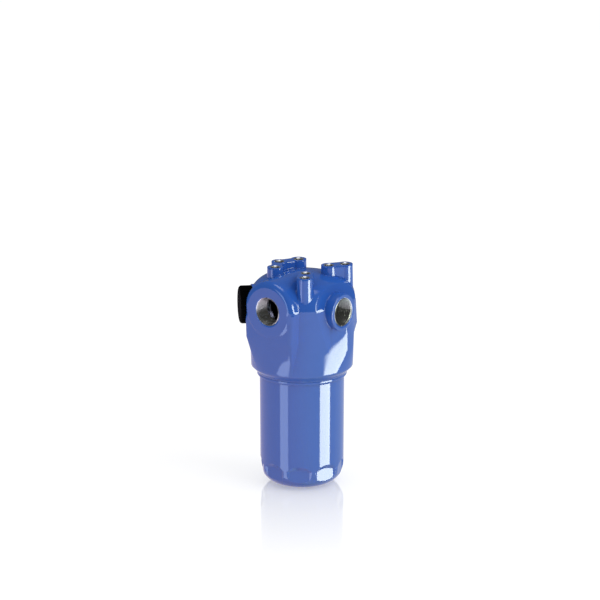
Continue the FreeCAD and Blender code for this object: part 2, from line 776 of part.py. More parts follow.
# Pleats: one fold drawn once and repeated round the axis.
media = new_body("pleated_media")
fold_sketch = new_sketch(media, "FoldOutline", "XY_Plane", media_foot_z)
half_pleat = Size(math.radians(180 / z.media_pleats.value), "(3.14159265 / " + z.media_pleats.text + ")")
fold_cos = Size(math.cos(half_pleat.value), "cos(" + half_pleat.text + " * 1 rad)")
fold_sin = Size(math.sin(half_pleat.value), "sin(" + half_pleat.text + " * 1 rad)")
valley_r = z.media_inner_r + z.media_fold
polygon(fold_sketch, [
    (z.media_inner_r * fold_cos, -z.media_inner_r * fold_sin),
    (valley_r * fold_cos, -valley_r * fold_sin),
    (z.media_outer_r, -z.media_tip_half),
    (z.media_outer_r, z.media_tip_half),
    (valley_r * fold_cos, valley_r * fold_sin),
    (z.media_inner_r * fold_cos, z.media_inner_r * fold_sin),
    (z.media_outer_r - z.media_fold, zero),
])
fold = extruded(media, "Fold", fold_sketch, media_top_z - media_foot_z)
repeated(media, "Pleats", [fold], z.media_pleats)

# Core tube with rows of holes.
core = new_body("core_tube")
core_foot_z = z.element_foot_z + z.cap_plate
turned(core, "Tube", [
    (z.core_r - z.core_wall, core_foot_z),
    (z.core_r, core_foot_z),
    (z.core_r, cap_under_z),
    (z.core_r - z.core_wall, cap_under_z),
])
hole_sketch = new_sketch(core, "HoleRow", "YZ_Plane")
row_pitch = (cap_under_z - core_foot_z) / (z.core_rows + 1)
for row in range(int(z.core_rows.value)):
    circle(hole_sketch, zero, core_foot_z + row_pitch * (row + 1), z.core_hole_r)
holes = extruded(core, "HoleColumn", hole_sketch, z.core_r + 2, cut=True, back=True)
repeated(core, "HoleColumns", [holes], z.core_columns)

# Lower cap with the bypass valve: seat hole, poppet, spring and cage.
bottom_cap = new_body("element_bottom_cap")
turned(bottom_cap, "BottomCap", [
    (z.bypass_hole_r, z.element_foot_z),
    (cap_r, z.element_foot_z),
    (cap_r, z.element_foot_z + z.cap_rim),
    (cap_r - z.cap_wall, z.element_foot_z + z.cap_rim),
    (cap_r - z.cap_wall, core_foot_z),
    (z.bypass_hole_r, core_foot_z),
])
poppet = new_body("bypass_poppet")
poppet_top_z = core_foot_z + z.poppet_thick
turned(poppet, "Poppet", [
    (zero, core_foot_z),
    (z.poppet_r, core_foot_z),
    (z.poppet_r, poppet_top_z),
    (z.stem_r, poppet_top_z),
    (z.stem_r, poppet_top_z + z.stem_long),
    (zero, poppet_top_z + z.stem_long),
])
cage = new_body("bypass_cage")
cage_top_z = core_foot_z + z.cage_high
cage_under_z = cage_top_z - z.cage_plate
turned(cage, "CageShell", [
    (z.cage_r - z.cage_foot_wide, core_foot_z),
    (z.cage_r, core_foot_z),
    (z.cage_r, cage_top_z),
    (z.stem_r + z.running_gap, cage_top_z),
    (z.stem_r + z.running_gap, cage_under_z),
    (z.cage_r - z.cage_foot_wide, cage_under_z),
])
window_sketch = new_sketch(cage, "Window", "YZ_Plane")
window_half = z.cage_r - z.cage_leg_half * 2
window_foot_z = core_foot_z + z.cage_foot_wide
rectangle(window_sketch, -window_half, window_foot_z, window_half, cage_under_z - z.cage_plate)
windows = extruded(cage, "WindowCut", window_sketch, z.cage_r * 2, cut=True, both=True)
repeated(cage, "Windows", [windows], Size(2))

# Bypass spring: a wire swept round a helix between poppet and cage.
# The wire is drawn with twelve sides, which keeps the hidden coil light.
spring_room = cage_under_z - poppet_top_z
helix = doc.addObject("Part::Helix", "SpringPath")
bind(helix, "Radius", z.bypass_coil_r)
bind(helix, "Height", spring_room - z.bypass_wire_r * 2)
bind(helix, "Pitch", (spring_room - z.bypass_wire_r * 2) / z.bypass_turns)
bind(helix, "Placement.Base.z", poppet_top_z + z.bypass_wire_r)
helix.SegmentLength = 1
wire = doc.addObject("Part::RegularPolygon", "SpringWire")
wire.Polygon = 12
bind(wire, "Circumradius", z.bypass_wire_r)
wire.Placement.Rotation = Rotation(Vector(1, 0, 0), 90)
bind(wire, "Placement.Base.x", z.bypass_coil_r)
bind(wire, "Placement.Base.z", poppet_top_z + z.bypass_wire_r)
doc.recompute()
spring = doc.addObject("Part::Sweep", "bypass_spring")
spring.Label = "bypass_spring"
spring.Sections = [wire]
spring.Spine = (helix, ["Edge" + str(i + 1) for i in range(len(helix.Shape.Edges))])
spring.Solid = True
spring.Frenet = True
doc.recompute()

# Indicator plug: drawn upright about its own axis, then laid on the diagonal.
plug = new_body("indicator_plug")
plug_groove_in = z.plug_seal_ring_r - z.plug_seal_cord_r - z.seal_room
plug_groove_out = z.plug_seal_ring_r + z.plug_seal_cord_r + z.seal_room
turned(plug, "PlugBlank", [
    (zero, -z.plug_thread_long),
    (z.plug_thread_r - 1, -z.plug_thread_long),
    (z.plug_thread_r, -z.plug_thread_long + 1),
    (z.plug_thread_r, zero),
    (plug_groove_in, zero),
    (plug_groove_in, z.plug_seal_cord_r * 2),
    (plug_groove_out, z.plug_seal_cord_r * 2),
    (plug_groove_out, zero),
    (z.plug_head_r, zero),
    (z.plug_head_r, z.plug_head_thick),
    (zero, z.plug_head_thick),
])
rounded(plug, "PlugEdge", z.plug_head_round, lambda edge: is_ring(edge, z.plug_head_r, z.plug_head_thick))
grip_sketch = new_sketch(plug, "GripCircle", "XY_Plane", z.plug_grip_foot)
circle(grip_sketch, z.plug_head_r + z.plug_grip_r / 3, zero, z.plug_grip_r)
grip = extruded(plug, "Grip", grip_sketch, z.plug_head_thick, cut=True, back=True)
repeated(plug, "Grips", [grip], z.plug_grips)
plug_seal = torus("plug_o_ring", z.plug_seal_ring_r, z.plug_seal_cord_r, zero)


def lay_on_diagonal(item, along):
    item.Placement = Placement(Vector(), Rotation(Vector(0, 0, 1), Vector(-1, -1, 0)))
    for path in ("Placement.Base.x", "Placement.Base.y"):
        bind(item, path, -(along * diagonal))
    bind(item, "Placement.Base.z", z.plug_z)


lay_on_diagonal(plug, z.plug_reach)
lay_on_diagonal(plug_seal, z.plug_reach + z.plug_seal_cord_r)

sub_parts = [
    head, bowl, bowl_o_ring, backup_ring, spigot, spigot_seal, top_cap, element_seal, top_potting, media,
    core, bottom_potting, bottom_cap, poppet, spring, cage, plug, plug_seal,
]


def fault(item):
    states = [state for state in item.State if state in ("Invalid", "Error")]
    return item.Label + " " + " ".join(states) if states else ""


def write_parts():
    doc.recompute()
    faults = [fault(item) for item in doc.Objects if fault(item)]
    for item in sub_parts:
        if item.Shape.isNull() or not item.Shape.isValid():
            faults.append(item.Label + " has no sound shape")
        elif len(item.Shape.Solids) != 1:
            faults.append(item.Label + " is not one solid")
    if faults:
        raise RuntimeError("; ".join(faults))
    os.makedirs("parts", exist_ok=True)
    for item in sub_parts:
        item.Shape.exportStep(os.path.join("parts", item.Label + ".step"))
        box = item.Shape.BoundBox
        print(item.Label, "%.2f cm3" % (item.Shape.Volume / 1000), "z %.1f to %.1f" % (box.ZMin, box.ZMax))


write_parts()
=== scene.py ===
import json
import math

import bmesh
import bpy
from mathutils import Matrix, Vector


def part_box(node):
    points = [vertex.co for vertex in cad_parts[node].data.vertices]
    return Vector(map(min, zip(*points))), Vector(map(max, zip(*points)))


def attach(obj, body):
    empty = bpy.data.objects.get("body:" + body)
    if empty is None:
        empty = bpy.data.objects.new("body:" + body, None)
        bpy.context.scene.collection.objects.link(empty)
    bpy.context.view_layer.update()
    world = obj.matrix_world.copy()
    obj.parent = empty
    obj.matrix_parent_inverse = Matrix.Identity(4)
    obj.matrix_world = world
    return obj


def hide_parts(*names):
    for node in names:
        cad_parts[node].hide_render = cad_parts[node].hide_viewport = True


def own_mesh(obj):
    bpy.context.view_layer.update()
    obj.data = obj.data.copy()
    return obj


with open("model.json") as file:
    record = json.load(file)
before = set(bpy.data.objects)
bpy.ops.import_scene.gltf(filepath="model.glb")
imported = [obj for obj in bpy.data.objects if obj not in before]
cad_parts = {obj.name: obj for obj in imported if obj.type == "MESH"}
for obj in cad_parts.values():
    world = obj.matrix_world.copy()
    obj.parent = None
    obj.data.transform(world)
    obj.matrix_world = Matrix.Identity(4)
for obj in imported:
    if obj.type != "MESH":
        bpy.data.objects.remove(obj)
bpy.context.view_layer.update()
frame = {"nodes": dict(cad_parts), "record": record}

scene = bpy.context.scene
mm = 0.001
white = (1.0, 1.0, 1.0, 1.0)
upward = Vector((0, 0, 1))
mounts = {mount["name"]: mount for mount in frame["record"]["mounts"]}
headLow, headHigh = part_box("filter_head")
print("stage: frame loaded,", len(frame["nodes"]), "nodes")


# Colours, nodes and objects

def toLinear(hexColour):
    # sRGB hex to the linear values that the shader sockets take
    parts = [int(hexColour[i:i + 2], 16) / 255 for i in (1, 3, 5)]
    return [c / 12.92 if c <= 0.04045 else ((c + 0.055) / 1.055) ** 2.4 for c in parts] + [1.0]


def addNode(tree, kind, settings):
    # A setting is a property of the node or the value of an input; a node or a socket is linked in.
    node = tree.nodes.new("ShaderNode" + kind)
    for key, value in settings.items():
        if isinstance(value, bpy.types.Node):
            value = value.outputs[0]
        if isinstance(value, bpy.types.NodeSocket):
            tree.links.new(value, node.inputs[key])
        elif isinstance(key, str) and hasattr(node, key):
            setattr(node, key, value)
        else:
            node.inputs[key].default_value = value
    return node


def newMaterial(name):
    material = bpy.data.materials.new(name)
    material.use_nodes = True
    material.node_tree.nodes.clear()
    return material, material.node_tree


def newObject(name, data):
    made = bpy.data.objects.new(name, data)
    scene.collection.objects.link(made)
    return made


def newPiece(name, mesh, material):
    # A piece of the object from its finished bmesh: the threads and the spring all ride on the head.
    data = bpy.data.meshes.new(name)
    mesh.to_mesh(data)
    mesh.free()
    data.materials.append(material)
    piece = newObject(name, data)
    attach(piece, "head_body")
    return piece


# Places of the tapped holes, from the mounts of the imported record

def tapPlaces():
    # Their centres in millimetres, as x and y.
    square, pair, single = (mounts[name] for name in ("mounting_square", "mounting_pair", "mounting_single"))
    halfX = square["dims"]["spacing_x_mm"] / 2
    halfY = square["dims"]["spacing_y_mm"] / 2
    places = [(sideX * halfX, sideY * halfY) for sideX in (-1, 1) for sideY in (-1, 1)]
    pairX = pair["pos_m"][0] / mm
    pairHalf = pair["dims"]["spacing_y_mm"] / 2
    places += [(pairX, -pairHalf), (pairX, pairHalf), (single["pos_m"][0] / mm, 0)]
    return places


# Paint on the head and the bowl

paint = {
    "blue": "#2B5BB0",
    "blueThin": "#2957AA",
    "baseRoughness": 0.5,
    "roughness": 0.06,  # of the glossy top film
    "ior": 1.55,
    "peelSize": 2.6 * mm,  # width of one orange-peel swell
    "peelHeight": 0.001 * mm,
    "castSize": 11.0 * mm,  # slow waviness of the casting under the paint
    "castHeight": 0.006 * mm,
    "turnedHeight": 0.0018 * mm,  # the bowl is turned all over, so less of that shows
    "bowlEdge": 0.5 * mm,  # how far paint rounds off the turned bowl's edges
    "bossFillet": 1.9 * mm,  # cast fillets between the bosses, the webs and the dome
    "barrelFillet": 5.0 * mm,  # wide blends low on the barrel, round the gussets and the rib
    "filletFrom": 150.0 * mm,
    "filletTo": 166.0 * mm,
    "headSamples": 24,  # of the fillets' rounding
    "bowlSamples": 16,
}
flank = {
    # The casting's soft flanks right of the inlet, as directions: the lit flank climbs to the outlet boss.
    # They are fitted to the band of light in the photograph, and fixed on the object.
    # Angles are degrees round the axis, counted from the side that the photograph was taken from.
    "zero": -52.4,  # world direction of the angle 0
    "from": -90.0,
    "to": 120.0,
    "startX": 22.4 * mm,  # where the inlet's flat gusset starts to round off
    "innerR": 40.0 * mm,
    "footZ": 116.8 * mm,
    "midZ": 136.0 * mm,
    "highZ": 153.0 * mm,
    "topFrom": 176.0 * mm,
    "topTo": 182.0 * mm,
    "bossClear": 18.3 * mm,
    "litNormals": (25.2, 41.5),
    "leftFoot": 25.2,
    "leftRise": (7.5, 28.0),  # the left edge turns little up to midZ and much from there to highZ
    "rightFoot": 42.4,
    "rightRise": 21.6,
    "feather": (0.8, 8.0),  # half width of the soft left edge, at footZ and at midZ
    "featherShare": 0.45,  # the most of the lit width that it takes
    "edgeTurn": 0.8,  # how little the surface turns over half that width
    "tilt": -0.02,
}
bare = {
    # clean machined aluminium where the paint is masked off
    "colour": "#D8DADE",
    "roughness": 0.3,
    "socketRadius": 41.6 * mm,
    "socketTop": 145.0 * mm,
    "chamberRadius": 35.6 * mm,
    "chamberTop": 189.4 * mm,
    "portRadius": 13.6 * mm,  # the thread and its chamfer
    "tapRadius": 4.85 * mm,
    "tapFoot": 196.0 * mm,
}
acrossX, acrossY, acrossZ = (0.0, 1.0, 1.0), (1.0, 0.0, 1.0), (1.0, 1.0, 0.0)


def axisDistance(tree, place, across, centre):
    # Distance from a line through centre; across has a 0 for the line's own direction.
    flat = addNode(tree, "VectorMath", {"operation": "MULTIPLY", 0: place, 1: across})
    return addNode(tree, "VectorMath", {"operation": "DISTANCE", 0: flat, 1: centre}).outputs["Value"]


def flankEdges(tree, z):
    # Angles of the lit flank's soft left edge, where it starts and ends, and of its right edge.
    footZ, midZ = flank["footZ"], flank["midZ"]
    leftFoot, rightFoot = flank["leftFoot"], flank["rightFoot"]
    climbs = [
        (footZ, midZ, leftFoot, leftFoot + flank["leftRise"][0]),
        (midZ, flank["highZ"], 0.0, flank["leftRise"][1]),
        (footZ, midZ, rightFoot, rightFoot + flank["rightRise"]),
        (footZ, midZ, *flank["feather"]),
    ]
    angles = []
    for start, stop, low, high in climbs:
        angles.append(addNode(tree, "MapRange", {
            "Value": z, "From Min": start, "From Max": stop, "To Min": low, "To Max": high}))
    lower, upper, right, widest = angles
    left = addNode(tree, "Math", {"operation": "ADD", 0: lower, 1: upper})
    width = addNode(tree, "Math", {"operation": "SUBTRACT", 0: right, 1: left})
    room = addNode(tree, "Math", {"operation": "MULTIPLY", 0: width, 1: flank["featherShare"]})
    feather = addNode(tree, "Math", {"operation": "MINIMUM", 0: widest, 1: room})
    before = addNode(tree, "Math", {"operation": "SUBTRACT", 0: left, 1: feather})
    after = addNode(tree, "Math", {"operation": "ADD", 0: left, 1: feather})
    return before, after, right


def flankNormal(tree, x, y, z):
    # Direction of the flank at a point: the angle round the axis, bent so that the lit part keeps its edges.
    around = addNode(tree, "Math", {"operation": "ARCTAN2", 0: y, 1: x})
    degrees = addNode(tree, "Math", {"operation": "DEGREES", 0: around})
    angle = addNode(tree, "Math", {"operation": "SUBTRACT", 0: degrees, 1: flank["zero"]})
    before, after, right = flankEdges(tree, z)
    litFrom, litTo = flank["litNormals"]
    first, last, edge = flank["from"], flank["to"], flank["edgeTurn"]
    turns = [
        (first, 0.0, first, 0.0),
        (0.0, before, 0.0, litFrom - edge),
        (before, after, 0.0, 2 * edge),
        (after, right, 0.0, litTo - litFrom - edge),
        (right, last, 0.0, last - litTo),
    ]
    heading = flank["zero"]
    for start, stop, low, high in turns:
        turn = addNode(tree, "MapRange", {
            "Value": angle, "From Min": start, "From Max": stop, "To Min": low, "To Max": high})
        heading = addNode(tree, "Math", {"operation": "ADD", 0: heading, 1: turn})
    heading = addNode(tree, "Math", {"operation": "RADIANS", 0: heading})
    return addNode(tree, "CombineXYZ", {
        "X": addNode(tree, "Math", {"operation": "COSINE", 0: heading}),
        "Y": addNode(tree, "Math", {"operation": "SINE", 0: heading}),
        "Z": flank["tilt"]})


def castFillets(tree, place):
    # Normals of the head with its fillets, and with one soft flank from the barrel up to the outlet boss.
    x, y, z = addNode(tree, "SeparateXYZ", {0: place}).outputs
    radius = addNode(tree, "MapRange", {
        "Value": z, "From Min": paint["filletFrom"], "From Max": paint["filletTo"],
        "To Min": paint["barrelFillet"], "To Max": paint["bossFillet"]})
    soft = addNode(tree, "Bevel", {"samples": paint["headSamples"], "Radius": radius})
    share = addNode(tree, "MapRange", {
        "Value": z, "From Min": flank["topFrom"], "From Max": flank["topTo"], "To Min": 1.0, "To Max": 0.0})
    outletZ = mounts["outlet_port"]["pos_m"][2]
    limits = [
        (x, flank["startX"]),
        (z, flank["footZ"]),
        (axisDistance(tree, place, acrossZ, (0.0, 0.0, 0.0)), flank["innerR"]),
        (axisDistance(tree, place, acrossX, (0.0, 0.0, outletZ)), flank["bossClear"]),
    ]
    for value, limit in limits:
        past = addNode(tree, "Math", {"operation": "GREATER_THAN", 0: value, 1: limit})
        share = addNode(tree, "Math", {"operation": "MULTIPLY", 0: share, 1: past})
    blend = addNode(tree, "Mix", {"data_type": "VECTOR", 0: share, 4: soft, 5: flankNormal(tree, x, y, z)})
    return addNode(tree, "VectorMath", {"operation": "NORMALIZE", 0: blend.outputs[1]})


def turnedEdges(tree, place):
    return addNode(tree, "Bevel", {"samples": paint["bowlSamples"], "Radius": paint["bowlEdge"]})


def bareMask(tree, place):
    # Machined places that stay bare: the socket and chambers, the ports and the tapped holes.
    x, y, z = addNode(tree, "SeparateXYZ", {0: place}).outputs
    inletZ = mounts["inlet_port"]["pos_m"][2]
    outletZ = mounts["outlet_port"]["pos_m"][2]
    areas = [
        (acrossZ, (0.0, 0.0, 0.0), bare["socketRadius"], z, "LESS_THAN", bare["socketTop"]),
        (acrossZ, (0.0, 0.0, 0.0), bare["chamberRadius"], z, "LESS_THAN", bare["chamberTop"]),
        (acrossY, (0.0, 0.0, inletZ), bare["portRadius"], y, "LESS_THAN", 0.0),
        (acrossX, (0.0, 0.0, outletZ), bare["portRadius"], x, "GREATER_THAN", 0.0),
    ]
    for tapX, tapY in tapPlaces():
        centre = (tapX * mm, tapY * mm, 0.0)
        areas.append((acrossZ, centre, bare["tapRadius"], z, "GREATER_THAN", bare["tapFoot"]))
    mask = 0.0
    for across, centre, radius, value, side, limit in areas:
        distance = axisDistance(tree, place, across, centre)
        inside = addNode(tree, "Math", {"operation": "LESS_THAN", 0: distance, 1: radius})
        beyond = addNode(tree, "Math", {"operation": side, 0: value, 1: limit})
        both = addNode(tree, "Math", {"operation": "MULTIPLY", 0: inside, 1: beyond})
        mask = addNode(tree, "Math", {"operation": "MAXIMUM", 0: mask, 1: both})
    return mask


def makePaint(name, waveHeight, edges, mask=None):
    # Two-pack polyurethane, wet-sprayed over aluminium: a deep even blue with a sharp gloss.
    # It flows out in very shallow swells and lies a little thinner here and there.
    material, tree = newMaterial(name)
    place = addNode(tree, "TexCoord", {}).outputs["Object"]
    swell = addNode(tree, "TexNoise", {"Vector": place, "Scale": 1 / paint["peelSize"], "Detail": 1.0})
    wave = addNode(tree, "TexNoise", {"Vector": place, "Scale": 1 / paint["castSize"], "Detail": 2.0})
    slow = addNode(tree, "Bump", {"Distance": waveHeight, "Height": wave, "Normal": edges(tree, place)})
    fine = addNode(tree, "Bump", {"Distance": paint["peelHeight"], "Height": swell, "Normal": slow})
    tone = addNode(tree, "Mix", {
        "data_type": "RGBA", 0: wave, 6: toLinear(paint["blue"]), 7: toLinear(paint["blueThin"])})
    shader = addNode(tree, "BsdfPrincipled", {
        "Base Color": tone.outputs[2], "Roughness": paint["baseRoughness"], "Specular IOR Level": 0.0,
        "Coat Weight": 1.0, "Coat Roughness": paint["roughness"], "Coat IOR": paint["ior"],
        "Coat Normal": fine})
    if mask is not None:
        metal = addNode(tree, "BsdfPrincipled", {
            "Base Color": toLinear(bare["colour"]), "Metallic": 1.0, "Roughness": bare["roughness"]})
        shader = addNode(tree, "MixShader", {0: mask(tree, place), 1: shader, 2: metal})
    addNode(tree, "OutputMaterial", {"Surface": shader})
    return material


finishes = {
    "sprayedBlueCasting": makePaint("sprayedBlueCasting", paint["castHeight"], castFillets, bareMask),
    "sprayedBlueBowl": makePaint("sprayedBlueBowl", paint["turnedHeight"], turnedEdges),
}


# Bare metals, rubber, resin and plastics

metals = {
    # aluminium cut by a tap, still bright, with the tool's fine tearing on the flanks
    "tappedAluminium": {"colour": "#9A9B96", "roughness": 0.28, "grain": 0.6 * mm, "relief": 0.01 * mm},
    # pressed steel sheet with bright zinc plating: an even grey with a soft sheen
    "zincPlatedSteel": {"colour": "#AEB2B6", "roughness": 0.3, "grain": 1.2 * mm, "relief": 0.004 * mm},
    # cold-drawn spring wire: darker than the plating, and smooth
    "drawnSpringSteel": {"colour": "#8C9094", "roughness": 0.25, "grain": 0.8 * mm, "relief": 0.002 * mm},
}
roughnessSpread = (0.8, 1.25)  # least and most roughness over the grain, as shares of the metal's own
dulls = {
    # nitrile rubber moulded to rings: nearly black, with a dull bloom
    "mouldedNitrileRubber": {
        "colour": "#151516", "darker": "#1D1D1E", "roughness": 0.55, "ior": 1.52, "specular": 0.5,
        "grain": 0.5 * mm, "relief": 0.004 * mm},
    # white fluoropolymer ring cut on a lathe: milky, a little waxy
    "turnedPtfe": {
        "colour": "#E8E8E3", "darker": "#DEDED8", "roughness": 0.45, "ior": 1.35, "specular": 0.5,
        "grain": 0.8 * mm, "relief": 0.002 * mm},
    # resin poured round the pleats: a straw colour, slightly uneven on top
    "castPottingResin": {
        "colour": "#C9B98E", "darker": "#BDAC80", "roughness": 0.4, "ior": 1.5, "specular": 0.5,
        "grain": 3.0 * mm, "relief": 0.02 * mm},
    # sheet laid from glass fibres, drawn coarser than its real fibres so that they show
    "laidGlassFibre": {
        "colour": "#E6E3D8", "darker": "#D6D2C4", "roughness": 0.9, "ior": 1.5, "specular": 0.5,
        "grain": 0.4 * mm, "relief": 0.03 * mm},
    # carbon-black nylon from an etched mould: next to no gloss
    "mouldedBlackNylon": {
        "colour": "#010101", "darker": "#020202", "roughness": 0.8, "ior": 1.53, "specular": 0.03,
        "grain": 0.5 * mm, "relief": 0.01 * mm},
}


def makeMetal(name, metal):
    # Bare metal keeps its tool marks as a fine grain that scatters the light a little.
    material, tree = newMaterial(name)
    place = addNode(tree, "TexCoord", {}).outputs["Object"]
    grain = addNode(tree, "TexNoise", {"Vector": place, "Scale": 1 / metal["grain"], "Detail": 3.0})
    bump = addNode(tree, "Bump", {"Distance": metal["relief"], "Height": grain})
    smoothest, roughest = (metal["roughness"] * share for share in roughnessSpread)
    rough = addNode(tree, "MapRange", {"Value": grain, "To Min": smoothest, "To Max": roughest})
    shader = addNode(tree, "BsdfPrincipled", {
        "Base Color": toLinear(metal["colour"]), "Metallic": 1.0, "Roughness": rough, "Normal": bump})
    addNode(tree, "OutputMaterial", {"Surface": shader})
    return material


def makeDull(name, dull):
    # An even colour that wanders a little, over a fine grain.
    material, tree = newMaterial(name)
    place = addNode(tree, "TexCoord", {}).outputs["Object"]
    grain = addNode(tree, "TexNoise", {"Vector": place, "Scale": 1 / dull["grain"], "Detail": 4.0})
    tone = addNode(tree, "Mix", {
        "data_type": "RGBA", 0: grain, 6: toLinear(dull["colour"]), 7: toLinear(dull["darker"])})
    bump = addNode(tree, "Bump", {"Distance": dull["relief"], "Height": grain})
    shader = addNode(tree, "BsdfPrincipled", {
        "Base Color": tone.outputs[2], "Roughness": dull["roughness"], "IOR": dull["ior"],
        "Specular IOR Level": dull["specular"], "Normal": bump})
    addNode(tree, "OutputMaterial", {"Surface": shader})
    return material


for name, metal in metals.items():
    finishes[name] = makeMetal(name, metal)
for name, dull in dulls.items():
    finishes[name] = makeDull(name, dull)

nodesOf = {
    "sprayedBlueCasting": ["filter_head"],
    "sprayedBlueBowl": ["bowl"],
    "zincPlatedSteel": [
        "spigot", "element_top_cap", "core_tube", "element_bottom_cap", "bypass_poppet", "bypass_cage"],
    "drawnSpringSteel": ["bypass_spring"],
    "mouldedNitrileRubber": ["bowl_o_ring", "spigot_o_ring", "element_o_ring", "plug_o_ring"],
    "turnedPtfe": ["bowl_backup_ring"],
    "castPottingResin": ["top_potting", "bottom_potting"],
    "laidGlassFibre": ["pleated_media"],
    "mouldedBlackNylon": ["indicator_plug"],
}
for finish, names in nodesOf.items():
    for name in names:
        slots = frame["nodes"][name].data.materials
        slots.clear()
        slots.append(finishes[finish])
print("stage: materials on the frame's nodes")


# Threads cut in the ports and the mounting holes

# radii, pitch, start behind the face and length in millimetres
portThread = {"root": 13.18, "crest": 12.06, "pitch": 1.814, "start": 0.7, "length": 14.2, "steps": 96}
outletThread = {**portThread, "length": 16.0}
tapThread = {"root": 3.97, "crest": 3.35, "pitch": 1.25, "start": 0.9, "length": 12.5, "steps": 40}
threadForm = {
    "steep": 1.35,  # above 1 the crest and the root get a narrow flat
    "rowsPerPitch": 8,
}


def makeThread(name, thread, mouths):
    # One grid wrapped into each hole; the crest climbs one pitch for every turn.
    mesh = bmesh.new()
    steps, steep = thread["steps"], threadForm["steep"]
    rows = int(thread["length"] / thread["pitch"] * threadForm["rowsPerPitch"])
    for mouth, inward in mouths:
        inward = Vector(inward).normalized()
        side = inward.orthogonal().normalized()
        other = inward.cross(side)
        grid = []
        for row in range(rows + 1):
            along = thread["start"] + row * thread["length"] / rows
            ring = []
            for step in range(steps):
                turn = 2 * math.pi * step / steps
                phase = (along / thread["pitch"] + step / steps) % 1
                rise = min(1, max(0, abs(phase * 2 - 1) * steep - (steep - 1) / 2))
                radius = thread["crest"] + (thread["root"] - thread["crest"]) * rise
                outward = side * math.cos(turn) + other * math.sin(turn)
                point = Vector(mouth) + inward * along + outward * radius
                ring.append(mesh.verts.new(point * mm))
            grid.append(ring)
        for low, high in zip(grid, grid[1:]):
            for step in range(steps):
                after = (step + 1) % steps
                mesh.faces.new((low[step], low[after], high[after], high[step]))
    for face in mesh.faces:
        face.smooth = True
    newPiece(name, mesh, finishes["tappedAluminium"])


def portMouth(name, face):
    # Centre of a port's face in millimetres: the mount's own axis, moved out to the face of its boss.
    mount = mounts[name]
    out = Vector(mount["axis"])
    place = Vector(mount["pos_m"])
    return place / mm + out * (face - place.dot(out) / mm), -out


makeThread("inletPortThread", portThread, [portMouth("inlet_port", -headLow[1] / mm)])
makeThread("outletPortThread", outletThread, [portMouth("outlet_port", headHigh[0] / mm)])
makeThread("mountingThreads", tapThread, [((x, y, headHigh[2] / mm), -upward) for x, y in tapPlaces()])
print("stage: threads cut")


# Bypass spring, wound again here as a coil between the ends of the imported spring, which is hidden

coil = {
    "radius": 6.4 * mm,
    "wire": 0.7 * mm,
    "turns": 4,
    "steps": 48,  # to a turn
    "sides": 16,
}


def makeCoil():
    low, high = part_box("bypass_spring")
    foot, top = low[2] + coil["wire"], high[2] - coil["wire"]
    count, sides = coil["turns"] * coil["steps"], coil["sides"]
    mesh = bmesh.new()
    rings = []
    for i in range(count + 1):
        turn = 2 * math.pi * i / coil["steps"]
        out = Vector((math.cos(turn), math.sin(turn), 0))
        centre = out * coil["radius"] + upward * (foot + (top - foot) * i / count)
        ring = []
        for side in range(sides):
            around = 2 * math.pi * side / sides
            offset = out * math.cos(around) + upward * math.sin(around)
            ring.append(mesh.verts.new(centre + offset * coil["wire"]))
        rings.append(ring)
    for ring, after in zip(rings, rings[1:]):
        for side in range(sides):
            across = (side + 1) % sides
            mesh.faces.new((ring[side], ring[across], after[across], after[side]))
    ends = [mesh.faces.new(rings[0]), mesh.faces.new(rings[-1])]
    bmesh.ops.recalc_face_normals(mesh, faces=mesh.faces)
    for face in mesh.faces:
        face.smooth = face not in ends
    piece = newPiece("bypassCoil", mesh, finishes["drawnSpringSteel"])
    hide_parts("bypass_spring")
    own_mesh(piece)


makeCoil()


# Camera at the photograph's angle

view = {
    "azimuth": 37.6,  # degrees from the inlet's side towards the outlet's
    "elevation": 16.0,
    "distance": 3.780,
    "pixel": 0.945 * mm,  # size of one photo pixel at the bowl's axis
    "photoSize": 600,
    "aimHeight": 106.9 * mm,  # this height on the axis shows at aimRow and aimColumn
    "aimColumn": 302,
    "aimRow": 372,
    "sensor": 36.0,
    "clipEnd": 100.0,
}
turned = math.radians(view["azimuth"])
rightward = Vector((math.cos(turned), math.sin(turned), 0))  # level, to the right of the camera's view
backward = upward.cross(rightward)  # level, away from the camera


def makeCamera():
    camera = bpy.data.cameras.new("photoCamera")
    holder = newObject("photoCamera", camera)
    raised = math.radians(view["elevation"])
    back = upward * math.sin(raised) - backward * math.cos(raised)
    screenUp = back.cross(rightward)
    middle = view["photoSize"] / 2
    centre = upward * view["aimHeight"]
    centre += rightward * (middle - view["aimColumn"]) * view["pixel"]
    centre += screenUp * (view["aimRow"] - middle) * view["pixel"]
    facing = Matrix((rightward, screenUp, back)).transposed().to_4x4()
    holder.matrix_world = Matrix.Translation(centre + back * view["distance"]) @ facing
    camera.sensor_width = view["sensor"]
    camera.lens = view["sensor"] * view["distance"] / (view["photoSize"] * view["pixel"])
    camera.clip_end = view["clipEnd"]
    scene.camera = holder


# Floor, card and light

table = {
    "size": 30.0,
    "drop": 0.3 * mm,  # a hair under the bowl, so that the two faces don't fight
    "matt": "#D0D0D0",
    "glow": 0.46,
    "mirrorNear": 0.27,
    "mirrorFar": 0.0,
    "fadeFrom": 0.04,
    "fadeTo": 0.30,
    "mirrorRoughness": 0.03,
    "bounce": "#E8E8E8",
}
card = {
    # White ring round the bowl: the table's mirror image shows its underside, and nothing else shows it.
    "height": 0.092,
    "inner": 0.055,
    "outer": 1.2,
    "steps": 48,
    "glow": 1.05,
}
panel = {
    # One large soft panel high on the camera's right.
    "size": 1.6,
    "power": 16.0,
    "place": (1.75, 0.23, 1.48),
    "aimHeight": 0.1,
}


